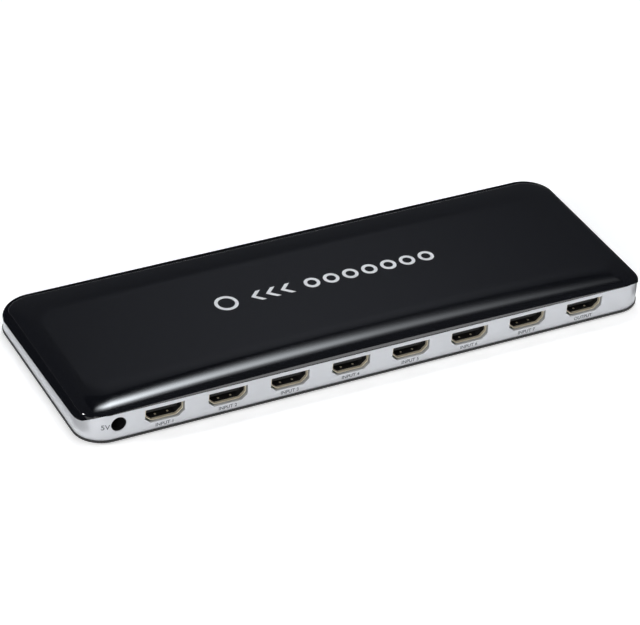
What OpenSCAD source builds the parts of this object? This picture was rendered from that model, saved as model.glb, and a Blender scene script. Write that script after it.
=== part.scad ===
// Seven-input, one-output video switch box: a pillow-shaped gloss cover over a
// satin frame with eight sockets in its rear wall, on a flat bottom cover.
// Millimetres. +X runs along the row of sockets, the sockets face -Y, +Z is up,
// and the origin lies on the ground below the middle of the case.

/* [Case] */
// Length of the case along the row of sockets
case_w = 230.6; // [228:0.2:250]
// Depth of the case from the socket face to the front
case_d = 86.4; // [84:0.2:100]
// Plan radius of the case corners
corner_r = 11; // [9:0.5:14]
// Height of the rubber feet below the bottom cover
foot_lift = 0.8; // [0.5:0.1:3]
// Thickness of the black edge below the frame
bottom_edge_h = 0.9; // [0.7:0.1:1.5]
// Thickness of the bottom cover's floor
floor_h = 1.6; // [1.4:0.1:2.2]
// Step from the covers' outer face in to the frame's outer face
reveal = 0.3; // [0.1:0.05:0.6]

/* [Frame] */
// Wall thickness of the frame
frame_wall = 2; // [1.4:0.1:2.4]
// Height of the frame on the socket face
rear_band_h = 10.7; // [10:0.1:12]
// Height of the frame where its fall eases, in the rear corners
knee_band_h = 7.25; // [6.4:0.05:8]
// Height of the frame where its ends begin, behind the rear corners
end_band_h = 6.1; // [5:0.1:6.4]
// Height of the frame on the front
front_band_h = 4.4; // [3.6:0.1:4.6]
// Depth behind the socket face at which the fall of the frame's top edge eases
knee_d = 5.5; // [4:0.1:7]

/* [Top cover] */
// Wall thickness of the top cover
cover_wall = 2; // [1.4:0.1:2.4]
// Height of the cover's roof above the ground
roof_z = 15.9; // [15.2:0.1:18]
// Height of the rounded shoulder of the cover
shoulder_h = 10.5; // [10:0.1:11]
// Width of the shoulder at the ends
end_shoulder = 8; // [7:0.5:14]
// Width of the shoulder along the front and the socket face
long_shoulder = 22; // [18:0.5:26]
// How far the shoulder would reach past the socket face
rear_overrun = 6.2; // [5.6:0.1:7]

/* [Sockets] */
// Number of video sockets
port_count = 8; // [4:1:8]
// Length of the case that the row of socket centres leaves free
port_row_margin = 59.1; // [57:0.1:64]
// Distance of the socket row's middle from the middle of the case
port_shift = 1.3; // [-2:0.1:2]
// Height of the socket centres above the frame's bottom edge
port_rise = 6; // [5.6:0.1:6.4]
// Width of the socket opening
port_w = 14; // [13.6:0.05:14.4]
// Height of the socket opening
port_h = 4.55; // [4.4:0.05:4.7]
// Width of the slanted lower corners of the opening
port_chamfer_w = 2.2; // [1.6:0.1:2.6]
// Height of the slanted lower corners of the opening
port_chamfer_h = 2; // [1.4:0.1:2.2]
// Sheet thickness of the socket shells
shell_wall = 0.35; // [0.2:0.05:0.5]
// Depth of the socket shells
shell_d = 11.3; // [10:0.1:13]
// Gap round a shell in the frame's cut-out
port_gap = 0.3; // [0.1:0.05:0.4]
// Depth of the shell's mouth behind the socket face
mouth_depth = 0.8; // [0.2:0.1:1.2]
// Width of the tongue inside a socket
tongue_w = 11.7; // [11:0.1:12]
// Thickness of the tongue
tongue_h = 1.9; // [1.7:0.05:2.1]
// Depth of the tongue's tip behind the shell's mouth
tongue_recess = 2.2; // [1.5:0.1:3]
// Height of the tongue above the middle of the opening
tongue_rise = 0.35; // [0:0.05:0.5]
// Distance between contacts in a row
contact_pitch = 1; // [0.9:0.05:1.05]
// Width of a contact
contact_w = 0.4; // [0.3:0.05:0.5]
// Thickness of a contact
contact_t = 0.15; // [0.1:0.05:0.2]

/* [Power inlet] */
// Distance of the inlet's axis from the end of the case
inlet_inset = 13.2; // [12:0.1:14]
// Diameter of the inlet's bore
inlet_bore = 5.7; // [5.5:0.05:5.8]
// Diameter of the hole in the frame
inlet_hole = 6; // [5.9:0.05:6.4]
// Diameter of the inlet's centre pin
inlet_pin = 2; // [1.6:0.05:2.5]
// Width of the inlet's housing
inlet_w = 8; // [7.6:0.1:8.4]
// Height of the inlet's housing
inlet_h = 7.4; // [7:0.1:7.8]
// Length of the inlet's housing
inlet_len = 12; // [11:0.5:14]
// Distance of the housing's face from the frame's inner face
inlet_setback = 1.8; // [1.6:0.1:2.4]

/* [Circuit board] */
// Gap from the frame's end walls to the board
board_end_gap = 7; // [6.5:0.1:9]
// Thickness of the board
board_t = 1.6; // [1.2:0.1:1.6]
// Gap from the frame's rear wall to the board
board_rear_gap = 1.2; // [0.6:0.1:2]
// Gap from the frame's front wall to the board
board_front_gap = 3.2; // [2.6:0.1:4]

/* [Controls] */
// Height of the control row above the board
control_rise = 2.6; // [2.5:0.05:2.7]
// Distance of the select button from the end of the case
button_inset_x = 35.3; // [31:0.1:45]
// Width of the select button's face
button_w = 7; // [5:0.5:9]
// Height of the select button's face
button_h = 2; // [1.6:0.1:2.2]
// Gap round the select button in the cover
button_gap = 0.2; // [0.1:0.05:0.4]
// Travel of the select button
button_travel = 0.3; // [0.2:0.05:0.5]
// Distance of the last indicator light from the select button
light_clear = 17; // [12:0.5:24]
// Diameter of a light pipe
light_d = 1.8; // [1.4:0.1:2]
// Distance of the receiver window from the end of the case
window_inset_x = 33.3; // [29:0.1:39]
// Width of the receiver window
window_w = 7; // [5:0.5:9]

/* [Fasteners] */
// Distance of the case screws from the ends of the case
case_screw_end = 19.3; // [17.5:0.1:21]
// Distance of the front case screws from the front of the case
case_screw_front = 21.2; // [17:0.1:25]
// Distance of the rear case screws from the rear of the case
case_screw_rear = 23.2; // [22:0.1:27]
// Shaft diameter of the case screws
case_screw_d = 2.5; // [2:0.1:3]
// Shaft diameter of the board screws
board_screw_d = 2; // [1.6:0.1:2.4]
// Diameter of a rubber foot
foot_d = 9; // [7:0.5:11]
// Distance of a foot's centre from the ends of the case
foot_inset_x = 13; // [11:0.5:16]
// Distance of a foot's centre from the front and rear of the case
foot_inset_y = 10.5; // [9:0.5:14]

/* [Hidden] */
$fn = 48;
cut = 0.5;
seat_gap = 0.1;
slide_gap = 0.05;

// Heights of the main levels above the ground
bottom_z = foot_lift;
frame_z = bottom_z + bottom_edge_h;
floor_z = bottom_z + floor_h;
port_z = frame_z + port_rise;
shell_h = port_h + 2 * shell_wall;
board_top = port_z - shell_h / 2;
board_z = board_top - board_t;
control_z = board_top + control_rise;

// Width of the level edge on top of the frame's rear wall, before it slopes inwards
seam_flat = 0.1;

// Faces along the depth
frame_w = case_w - 2 * reveal;
frame_d = case_d - 2 * reveal;
frame_r = corner_r - reveal;
rear_face = -frame_d / 2;
rear_inner = rear_face + frame_wall;
front_inner = frame_d / 2 - frame_wall;
mouth_y = rear_face + mouth_depth;
shell_back = mouth_y + shell_d;
board_w = frame_w - 2 * (frame_wall + board_end_gap);
board_rear = rear_inner + board_rear_gap;
board_front = front_inner - board_front_gap;

// Upright rim of the bottom cover inside the frame
rim_gap = 0.2;
rim_wall = 1.2;
rim_h = 1.3;

// Rounded shoulder of the cover: its rear corner radius at its foot, and how much less its radii are at the roof
shoulder_r_step = 1.5;
shoulder_rear_r = corner_r - shoulder_r_step;
shoulder_r_loss = 2;
shoulder_steps = 12;
corner_steps = 10;

// Row of sockets
port_pitch = (case_w - port_row_margin) / (port_count - 1);

// Socket parts
tongue_tip = mouth_y + tongue_recess;
base_len = 1.8;
base_gap = 0.05;
contact_back = 1.2;
contacts_top = 10;
contacts_under = 9;
spring_dot_d = 1;
spring_dot_h = 0.25;
spring_dot_x = 2.4;
spring_dot_depth = 2.6;

// Power inlet
inlet_x = -(case_w / 2 - inlet_inset);
inlet_face = rear_inner + inlet_setback;
inlet_nose_wall = 0.7;
inlet_nose_d = inlet_bore + 2 * inlet_nose_wall;
inlet_nose = rear_inner + seat_gap;
inlet_back_wall = 2;
inlet_bore_end = inlet_face + inlet_len - inlet_back_wall;
inlet_pin_recess = 0.8;
inlet_pin_tip = inlet_face + inlet_pin_recess;
inlet_notch_gap = 0.2;
leaf_w = 2;
leaf_t = 0.3;
leaf_len = 6;

// Case screws, bosses and posts
case_screws_at = [for (sx = [-1, 1], y = [case_screw_rear - case_d / 2, case_d / 2 - case_screw_front])
    [sx * (case_w / 2 - case_screw_end), y]];
case_head_d = case_screw_d * 2;
case_head_h = 1.4;
head_gap = 0.2;
shaft_gap = 0.1;
clear_gap = 0.2;
screw_web = 1;
post_wall = 1;
post_d = case_head_d + 2 * head_gap + 2 * post_wall;
boss_wall = 1.5;
boss_d = case_screw_d + 2 * boss_wall;
boss_gap = 0.1;
case_screw_len = 8;
web_z = board_z - screw_web;

// Cross recess of the screw heads
slot_reach = 0.7;
slot_width = 0.16;
slot_deep = 0.6;

// Board screws and their standoffs
board_screw_pitch = 2 * port_pitch;
board_screw_setback = 11.7;
board_screw_y = board_front - board_screw_setback;
board_screws_at = [for (k = [-1, 0, 1]) [k * board_screw_pitch, board_screw_y]];
standoff_d = board_screw_d + 2 * boss_wall;
board_head_ratio = 1.9;
board_head_d = board_screw_d * board_head_ratio;
board_head_h = 1.2;
board_screw_grip = 1.2;

// Feet
foot_sink = 0.5;
feet_at = [for (sx = [-1, 1], sy = [-1, 1])
    [sx * (case_w / 2 - foot_inset_x), sy * (case_d / 2 - foot_inset_y)]];
foot_gap = 0.1;

// Control row along the front
button_x = case_w / 2 - button_inset_x;
window_x = case_w / 2 - window_inset_x;
button_inset = 0.7;
pipe_inset = 0.8;
window_inset = 0.8;
control_face = case_d / 2;
flange_t = 0.8;
flange_rim = 0.7;
flange_gap = 0.4;
flange_h = 2;
flange_y = inner_front(control_z + flange_h / 2) - flange_gap;
press_nub_d = 1.6;
press_nub_h = 0.4;
tact_w = 6;
tact_len = 4;
tact_h = 4.2;
plunger_d = 2;
plunger_tip = flange_y - flange_t - press_nub_h - slide_gap;
plunger_out = 0.9;
plunger_in = 0.7;
tact_front = plunger_tip - plunger_out;
light_count = port_count;
light_pitch = 2 * (button_x - light_clear) / (light_count - 1);
light_x0 = light_clear - button_x;
led_size = [1.6, 0.9, 0.6];
pipe_leg = 2;
pipe_setback = 3.7;
pipe_back = board_front - pipe_setback;
light_gap = 0.1;
window_h = 2;
receiver_size = [5.6, 3, 4];
receiver_lens_d = 2.6;
receiver_lens_h = 0.8;
receiver_setback = 1;
receiver_front = flange_y - flange_t - receiver_setback;

// Parts on the board
switch_chip_size = [14, 14, 1.4];
switch_chip_pitch = 2 * port_pitch;
switch_chip_y = -8;
chip_pin_len = 1;
chip_pin_w = 0.4;
chip_pin_pitch = 0.9;
chip_pin_t = 0.2;
chip_pins = 14;
control_chip_size = [10, 6, 1.6];
control_row_y = 14;
control_chip_at = [switch_chip_pitch, control_row_y];
control_pin_pitch = 1.27;
control_pins = 7;
crystal_size = [5, 3.2, 1.2];
crystal_clear = 11;
crystal_at = [switch_chip_pitch - crystal_clear, control_row_y];
regulator_size = [6.5, 3.6, 1.7];
power_row_step = 18;
power_row_y = -10;
power_row = [inlet_x + power_row_step, power_row_y];
power_step = [10, 12];
regulator_at = power_row;
regulator_tab = [3, 1.6, 0.4];
inductor_size = [7, 7, 3.6];
inductor_at = power_row + [0, power_step[1]];
inductor_core_d = 5.4;
inductor_groove = 0.6;
inductor_groove_deep = 0.4;
can_d = 6.3;
can_h = 5.4;
can_base = [6.6, 6.6, 0.9];
cans_at = [for (k = [0, 1]) power_row + [power_step[0], k * power_step[1]]];
guard_size = [2.5, 1, 0.6];
guard_setback = 3;
guard_y = shell_back + guard_setback;
guard_x = 3;
bypass_size = [1.6, 0.8, 0.8];
bypass_setback = 12;
bypass_y = switch_chip_y + bypass_setback;
bypass_pitch = 3;
bypass_row = 5;

// Colours
gloss_black = "#202125";
satin_silver = "#c8cbd0";
plain_black = "#18191b";
soft_black = "#262626";
board_green = "#1e5a36";
nickel = "#bdb59b";
steel = "#aab0b5";
gold = "#c9a54a";
clear_tint = "#dfe6ea";
filter_red = "#3a1216";

port_numbers = [for (i = [1 : port_count]) i];

function port_x(i) = port_shift + (i - (port_count + 1) / 2) * port_pitch;

// Plan outline of a box with rounded corners, made of true arcs
module rounded_plan(w, d, r) {
    square([w - 2 * r, d], center = true);
    square([w, d - 2 * r], center = true);
    for (sx = [-1, 1], sy = [-1, 1])
        translate([sx * (w / 2 - r), sy * (d / 2 - r)]) circle(r);
}

module slab(w, d, r, z0, z1) {
    translate([0, 0, z0]) linear_extrude(z1 - z0) rounded_plan(w, d, r);
}

// Slab that follows the frame's outline at a distance inside it
module frame_inset_slab(in, z0, z1) {
    slab(frame_w - 2 * in, frame_d - 2 * in, frame_r - in, z0, z1);
}

// Plain block standing on the board, centred on a point
module board_block(size, at) {
    translate([at[0] - size[0] / 2, at[1] - size[1] / 2, board_top]) cube(size);
}

// Cylinder along +Y from one depth to another
module rod_y(d, x, z, y0, y1) {
    translate([x, y0, z]) rotate([-90, 0, 0]) cylinder(d = d, h = y1 - y0);
}

// Flat bar with round ends, seen along Y
module pill_y(w, h, x, z, y0, y1) {
    translate([x - (w - h) / 2, y0, z - h / 2]) cube([w - h, y1 - y0, h]);
    for (side = [-1, 1]) rod_y(h, x + side * (w - h) / 2, z, y0, y1);
}

// Everything below the line where the frame meets the top cover
module below_seam() {
    rear_z = frame_z + rear_band_h;
    rear_y = -case_d / 2;
    side = [
        [-case_d, 0], [-case_d, rear_z], [rear_y + reveal + seam_flat, rear_z],
        [rear_y + knee_d, frame_z + knee_band_h], [rear_y + corner_r, frame_z + end_band_h],
        [case_d / 2, frame_z + front_band_h], [case_d, frame_z + front_band_h], [case_d, 0]];
    translate([-case_w, 0, 0]) rotate([90, 0, 90]) linear_extrude(2 * case_w) polygon(side);
}

// One corner of a level outline of the shoulder
function corner_arc(cx, cy, r, turn) = [for (k = [0 : corner_steps])
    [cx + r * cos(turn + 90 * k / corner_steps), cy + r * sin(turn + 90 * k / corner_steps)]];

// Level outline of the shoulder at one angle of its quarter ellipse
function shoulder_ring(a, skin) =
    let (t = 1 - cos(a),
        hw = case_w / 2 - skin - end_shoulder * t,
        y1 = case_d / 2 - skin - long_shoulder * t,
        y0 = -case_d / 2 - rear_overrun + skin + long_shoulder * t,
        f = corner_r - shoulder_r_loss * t,
        r = shoulder_rear_r - shoulder_r_loss * t)
    concat(corner_arc(hw - f, y1 - f, f, 0), corner_arc(f - hw, y1 - f, f, 90),
        corner_arc(r - hw, y0 + r, r, 180), corner_arc(hw - r, y0 + r, r, 270));

// Depth of the cover's inner face at the front, at one height
function inner_front(z) =
    let (a = asin((z - roof_z + shoulder_h) / (shoulder_h - cover_wall)))
    case_d / 2 - cover_wall - long_shoulder * (1 - cos(a));

// Pillow form of the cover, inset by a skin thickness, reaching down to the ground
module pillow(skin) {
    ring_n = 4 * (corner_steps + 1);
    angles = [for (k = [0 : shoulder_steps]) 90 * k / shoulder_steps];
    skirt = [for (p = shoulder_ring(0, skin)) [p[0], p[1], 0]];
    rise = [for (a = angles, p = shoulder_ring(a, skin))
        [p[0], p[1], roof_z - shoulder_h + (shoulder_h - skin) * sin(a)]];
    last = (shoulder_steps + 1) * ring_n;
    walls = [for (k = [0 : shoulder_steps], j = [0 : ring_n - 1], half = [0, 1])
        let (n = (j + 1) % ring_n, low = k * ring_n, high = low + ring_n)
        half == 0 ? [low + j, high + j, high + n] : [low + j, high + n, low + n]];
    floor_face = [[for (j = [0 : ring_n - 1]) j]];
    roof_face = [[for (j = [ring_n - 1 : -1 : 0]) last + j]];
    polyhedron(concat(skirt, rise), concat(walls, floor_face, roof_face));
}

module bottom_cover() {
    color(plain_black) difference() {
        union() {
            slab(case_w, case_d, corner_r, bottom_z, frame_z);
            frame_inset_slab(frame_wall + rim_gap, frame_z - cut, floor_z);
            difference() {
                frame_inset_slab(frame_wall + rim_gap, floor_z - cut, frame_z + rim_h);
                frame_inset_slab(frame_wall + rim_gap + rim_wall, bottom_z, frame_z + rim_h + cut);
            }
            post_h = board_z - floor_z + cut;
            for (p = case_screws_at)
                translate([p[0], p[1], floor_z - cut]) cylinder(d = post_d, h = post_h);
            for (p = board_screws_at)
                translate([p[0], p[1], floor_z - cut]) cylinder(d = standoff_d, h = post_h);
        }
        for (p = case_screws_at) translate([p[0], p[1], 0]) {
            cylinder(d = case_head_d + 2 * head_gap, h = web_z);
            cylinder(d = case_screw_d + 2 * clear_gap, h = board_top);
        }
        for (p = board_screws_at)
            translate([p[0], p[1], board_z - board_screw_grip - seat_gap])
                cylinder(d = board_screw_d + shaft_gap, h = board_t + board_screw_grip);
        for (p = feet_at)
            translate([p[0], p[1], 0]) cylinder(d = foot_d + 2 * foot_gap, h = bottom_z + foot_sink);
    }
}

module socket_outline(grow) {
    w = port_w / 2 + grow;
    h = port_h / 2 + grow;
    polygon([[-w, h], [w, h], [w, port_chamfer_h - h], [w - port_chamfer_w, -h],
        [port_chamfer_w - w, -h], [-w, port_chamfer_h - h]]);
}

// Socket outline drawn out along +Y from one depth to another
module socket_bar(i, grow, y0, y1) {
    translate([port_x(i), y1, port_z]) rotate([90, 0, 0]) linear_extrude(y1 - y0) socket_outline(grow);
}

module side_frame() {
    color(satin_silver) difference() {
        intersection() {
            slab(frame_w, frame_d, frame_r, frame_z, frame_z + rear_band_h);
            below_seam();
        }
        frame_inset_slab(frame_wall, 0, roof_z);
        for (i = port_numbers)
            socket_bar(i, shell_wall + port_gap, rear_face - cut, rear_inner + cut);
        rod_y(inlet_hole, inlet_x, port_z, rear_face - cut, rear_inner + cut);
    }
}

module top_cover() {
    color(gloss_black) difference() {
        union() {
            difference() {
                intersection() {
                    pillow(0);
                    slab(case_w, case_d, corner_r, 0, 2 * roof_z);
                }
                intersection() {
                    pillow(cover_wall);
                    in = 2 * cover_wall;
                    slab(case_w - in, case_d - in, corner_r - cover_wall, -cut, 2 * roof_z);
                }
                below_seam();
            }
            intersection() {
                pillow(cover_wall / 2);
                for (p = case_screws_at)
                    translate([p[0], p[1], board_top + boss_gap]) cylinder(d = boss_d, h = roof_z);
            }
        }
        for (p = case_screws_at)
            translate([p[0], p[1], board_top]) cylinder(d = case_screw_d + shaft_gap, h = case_screw_len);
        pill_y(button_w + 2 * button_gap, button_h + 2 * button_gap, button_x, control_z, flange_y, case_d);
        pill_y(window_w + 2 * seat_gap, window_h + 2 * seat_gap, -window_x, control_z, flange_y, case_d);
        for (k = [0 : light_count - 1])
            rod_y(light_d + 2 * light_gap, light_x0 + k * light_pitch, control_z, flange_y, case_d);
    }
}

module rubber_feet() {
    color(soft_black) for (p = feet_at)
        translate([p[0], p[1], 0]) cylinder(d = foot_d, h = foot_lift + foot_sink);
}

// Cross recess in the head of a screw that is driven upwards
module cross_slot(d) {
    slot = [d * slot_reach, d * slot_width, slot_deep];
    for (turn = [0, 90]) rotate(turn) translate([-slot[0] / 2, -slot[1] / 2, 0]) cube(slot);
}

module case_screws() {
    color(steel) for (p = case_screws_at) translate([p[0], p[1], web_z]) difference() {
        union() {
            translate([0, 0, -case_head_h]) cylinder(d = case_head_d, h = case_head_h);
            cylinder(d = case_screw_d, h = case_screw_len);
        }
        translate([0, 0, -case_head_h]) cross_slot(case_head_d);
    }
}

module circuit_board() {
    color(board_green) difference() {
        translate([-board_w / 2, board_rear, board_z]) cube([board_w, board_front - board_rear, board_t]);
        translate([inlet_x - inlet_w / 2 - inlet_notch_gap - case_w, board_rear - cut, board_z - cut])
            cube([case_w + inlet_w + 2 * inlet_notch_gap,
                inlet_face + inlet_len + inlet_notch_gap - board_rear + cut, board_t + 2 * cut]);
        through = board_t + 2 * cut;
        for (p = case_screws_at)
            translate([p[0], p[1], board_z - cut]) cylinder(d = case_screw_d + 2 * clear_gap, h = through);
        for (p = board_screws_at)
            translate([p[0], p[1], board_z - cut]) cylinder(d = board_screw_d + 2 * clear_gap, h = through);
    }
}

module board_screws() {
    color(steel) for (p = board_screws_at) translate([p[0], p[1], board_top]) difference() {
        union() {
            cylinder(d = board_head_d, h = board_head_h);
            translate([0, 0, -board_t - board_screw_grip])
                cylinder(d = board_screw_d, h = board_t + board_screw_grip);
        }
        translate([0, 0, board_head_h - slot_deep]) cross_slot(board_head_d);
    }
}

// Folded metal shell with two spring dots in its floor
module port_shell(i) {
    color(nickel) {
        difference() {
            socket_bar(i, shell_wall, mouth_y, shell_back);
            socket_bar(i, 0, mouth_y - cut, shell_back + cut);
        }
        dot_y = mouth_y + spring_dot_depth;
        for (side = [-1, 1])
            translate([port_x(i) + side * spring_dot_x, dot_y, board_top + shell_wall / 2])
                cylinder(d = spring_dot_d, h = shell_wall / 2 + spring_dot_h);
    }
}

// Moulded tongue and the base block that closes the back of the shell
module port_insulator(i) {
    color(plain_black) union() {
        socket_bar(i, -base_gap, shell_back - base_len, shell_back);
        translate([port_x(i) - tongue_w / 2, tongue_tip, port_z + tongue_rise - tongue_h / 2])
            cube([tongue_w, shell_back - tongue_tip - base_len / 2, tongue_h]);
    }
}

// Two rows of contact bars on the tongue
module port_contacts(i) {
    bar = [contact_w, shell_back - base_len - seat_gap - tongue_tip - contact_back, contact_t];
    color(gold) for (row = [-1, 1]) {
        count = row > 0 ? contacts_top : contacts_under;
        z = port_z + tongue_rise + (row > 0 ? tongue_h / 2 : -tongue_h / 2 - contact_t);
        for (k = [0 : count - 1])
            translate([port_x(i) + (k - (count - 1) / 2) * contact_pitch - contact_w / 2,
                tongue_tip + contact_back, z]) cube(bar);
    }
}

module inlet_housing() {
    color(plain_black) difference() {
        union() {
            translate([inlet_x - inlet_w / 2, inlet_face, port_z - inlet_h / 2])
                cube([inlet_w, inlet_len, inlet_h]);
            rod_y(inlet_nose_d, inlet_x, port_z, inlet_nose, inlet_face + cut);
        }
        rod_y(inlet_bore, inlet_x, port_z, inlet_nose - cut, inlet_bore_end);
        rod_y(inlet_pin, inlet_x, port_z, inlet_nose, inlet_face + inlet_len + cut);
        translate([inlet_x - leaf_w / 2 - seat_gap, inlet_bore_end - leaf_len, port_z - inlet_h / 2 - cut])
            cube([leaf_w + 2 * seat_gap, leaf_len, inlet_h / 2]);
    }
}

module inlet_pin() {
    color(steel) rod_y(inlet_pin - slide_gap, inlet_x, port_z, inlet_pin_tip, inlet_face + inlet_len);
}

// Leaf spring below the bore that touches the plug's sleeve
module inlet_spring() {
    leaf_y = inlet_bore_end - leaf_len + seat_gap;
    color(nickel) translate([inlet_x - leaf_w / 2, leaf_y, port_z - inlet_bore / 2 - leaf_t])
        cube([leaf_w, leaf_len - 2 * seat_gap, leaf_t]);
}

// Square chip with a row of pins on each side
module pinned_chip(size, at) {
    board_block(size, at);
    for (turn = [0, 90, 180, 270], k = [0 : chip_pins - 1])
        translate([at[0], at[1], board_top]) rotate(turn)
            translate([size[0] / 2, (k - (chip_pins - 1) / 2) * chip_pin_pitch - chip_pin_w / 2, 0])
                cube([chip_pin_len, chip_pin_w, chip_pin_t]);
}

module switch_chips() {
    color(soft_black) for (k = [-1, 0, 1])
        pinned_chip(switch_chip_size, [k * switch_chip_pitch, switch_chip_y]);
}

module control_chip() {
    color(soft_black) {
        board_block(control_chip_size, control_chip_at);
        out = (control_chip_size[1] + chip_pin_len) / 2;
        for (side = [-1, 1], k = [0 : control_pins - 1])
            board_block([chip_pin_w, chip_pin_len, chip_pin_t],
                control_chip_at + [(k - (control_pins - 1) / 2) * control_pin_pitch, side * out]);
    }
}

module crystal() {
    color(steel) board_block(crystal_size, crystal_at);
}

module regulator() {
    color(soft_black) {
        board_block(regulator_size, regulator_at);
        board_block(regulator_tab, regulator_at + [0, (regulator_size[1] + regulator_tab[1]) / 2]);
    }
}

module power_inductor() {
    color(soft_black) difference() {
        board_block(inductor_size, inductor_at);
        groove_z = board_top + inductor_size[2] - inductor_groove_deep;
        translate([inductor_at[0], inductor_at[1], groove_z]) difference() {
            cylinder(d = inductor_core_d, h = inductor_size[2]);
            cylinder(d = inductor_core_d - 2 * inductor_groove, h = inductor_size[2]);
        }
    }
}

module electrolytic_cans() {
    color(steel) for (p = cans_at) {
        board_block(can_base, p);
        seat = can_base[2] / 2;
        translate([p[0], p[1], board_top + seat]) cylinder(d = can_d, h = can_h - seat);
    }
}

module bypass_capacitors() {
    x0 = -(bypass_row - 1) / 2 * bypass_pitch;
    color(gold) for (c = [-1, 0, 1], k = [0 : bypass_row - 1])
        board_block(bypass_size, [c * switch_chip_pitch + x0 + k * bypass_pitch, bypass_y]);
}

// Two surge arrays behind each socket
module surge_arrays() {
    color(soft_black) for (i = port_numbers, side = [-1, 1])
        board_block(guard_size, [port_x(i) + side * guard_x, guard_y]);
}

module indicator_leds() {
    color(clear_tint) for (k = [0 : light_count - 1])
        board_block(led_size, [light_x0 + k * light_pitch, pipe_back + pipe_leg / 2]);
}

// Clear pipes that turn the light of each indicator to the front
module light_pipes() {
    color(clear_tint) for (k = [0 : light_count - 1]) {
        x = light_x0 + k * light_pitch;
        leg_z = board_top + led_size[2] + seat_gap;
        translate([x - light_d / 2, pipe_back, leg_z])
            cube([light_d, pipe_leg, control_z + light_d / 2 - leg_z]);
        rod_y(light_d, x, control_z, pipe_back + pipe_leg / 2, control_face - pipe_inset);
    }
}

module remote_receiver() {
    color(soft_black) {
        board_block(receiver_size, [-window_x, receiver_front - receiver_size[1] / 2]);
        lens_y = receiver_front + receiver_lens_h;
        rod_y(receiver_lens_d, -window_x, control_z, receiver_front - cut, lens_y);
    }
}

module receiver_window() {
    mid_y = flange_y - flange_t / 2;
    color(filter_red) union() {
        pill_y(window_w, window_h, -window_x, control_z, mid_y, control_face - window_inset);
        pill_y(window_w + 2 * flange_rim, flange_h, -window_x, control_z, flange_y - flange_t, flange_y);
    }
}

module tact_switch() {
    color(soft_black) difference() {
        board_block([tact_w, tact_len, tact_h], [button_x, tact_front - tact_len / 2]);
        rod_y(plunger_d + 2 * slide_gap, button_x, control_z,
            tact_front - plunger_in - button_travel - seat_gap, tact_front + cut);
    }
}

module tact_plunger() {
    color(satin_silver) rod_y(plunger_d, button_x, control_z, tact_front - plunger_in, plunger_tip);
}

module select_button() {
    mid_y = flange_y - flange_t / 2;
    color(gloss_black) union() {
        pill_y(button_w, button_h, button_x, control_z, mid_y, control_face - button_inset);
        pill_y(button_w + 2 * flange_rim, flange_h, button_x, control_z, flange_y - flange_t, flange_y);
        rod_y(press_nub_d, button_x, control_z, flange_y - flange_t - press_nub_h, mid_y);
    }
}

bottom_cover();
side_frame();
top_cover();
rubber_feet();
case_screws();
circuit_board();
board_screws();
for (i = port_numbers) {
    port_shell(i);
    port_insulator(i);
    port_contacts(i);
}
inlet_housing();
inlet_pin();
inlet_spring();
switch_chips();
control_chip();
crystal();
regulator();
power_inductor();
electrolytic_cans();
bypass_capacitors();
surge_arrays();
indicator_leds();
light_pipes();
remote_receiver();
receiver_window();
tact_switch();
tact_plunger();
select_button();
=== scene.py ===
"""Looks of a video switch box with seven inputs and one output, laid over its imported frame."""
import math

import bmesh
import bpy
from mathutils import Matrix, Vector


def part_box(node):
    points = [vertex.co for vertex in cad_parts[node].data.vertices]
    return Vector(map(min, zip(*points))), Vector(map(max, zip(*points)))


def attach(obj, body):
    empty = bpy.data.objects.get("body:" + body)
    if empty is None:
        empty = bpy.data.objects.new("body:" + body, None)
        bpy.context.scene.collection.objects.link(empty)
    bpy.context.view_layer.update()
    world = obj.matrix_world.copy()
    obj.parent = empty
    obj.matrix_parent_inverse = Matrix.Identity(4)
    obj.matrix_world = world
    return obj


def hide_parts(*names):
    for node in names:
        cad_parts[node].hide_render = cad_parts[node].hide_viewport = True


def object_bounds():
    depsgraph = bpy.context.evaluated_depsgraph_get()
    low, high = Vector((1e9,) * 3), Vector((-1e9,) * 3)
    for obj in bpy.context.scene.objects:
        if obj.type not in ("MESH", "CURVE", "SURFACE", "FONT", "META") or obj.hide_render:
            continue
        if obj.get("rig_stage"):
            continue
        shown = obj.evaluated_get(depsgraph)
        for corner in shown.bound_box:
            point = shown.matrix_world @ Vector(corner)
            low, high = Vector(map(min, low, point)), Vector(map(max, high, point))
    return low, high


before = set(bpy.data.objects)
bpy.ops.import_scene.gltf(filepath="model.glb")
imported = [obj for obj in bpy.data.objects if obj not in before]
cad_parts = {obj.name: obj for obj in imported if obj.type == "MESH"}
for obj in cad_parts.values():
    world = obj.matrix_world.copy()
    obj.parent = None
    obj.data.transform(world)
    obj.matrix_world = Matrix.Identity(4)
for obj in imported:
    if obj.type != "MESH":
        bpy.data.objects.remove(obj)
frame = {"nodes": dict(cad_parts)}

bl_info = {
    "name": "Video switch box looks",
    "version": (1, 0, 0),
    "blender": (4, 5, 0),
    "location": "View3D > Sidebar > Switch box",
    "description": "Models the visible shells, sockets, print and studio of a video switch box",
    "category": "Object",
}

MM = 0.001
# Points nearer than this are one point
MERGE = 0.002 * MM
CASE_LOW, CASE_HIGH = (Vector(corner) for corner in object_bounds())
NODES = frame["nodes"]
# Distance between the axes of the case screws from rear to front
SCREW_SPAN = 42 * MM
COVER_LOW, COVER_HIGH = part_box("top_cover")
FRAME_LOW, FRAME_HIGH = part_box("side_frame")
PORTS = [name for name in NODES if name.startswith("port_shell_")]
PORTS.sort(key=lambda name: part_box(name)[0].x)
# Cosine past which an edge or a face counts as lying along an axis
ALIGNED = 0.99
# Angles in degrees: triangles flatter than the first become one face, and edges past the others stay sharp
FLAT_ANGLE = 0.5
SHARP_ANGLE = 35
COVER_ANGLE = 40
SHEET_ANGLE = 50
# Sides of a round piece and of a small bore
ROUND_SIDES = 48
BORE_SIDES = 32


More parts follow.
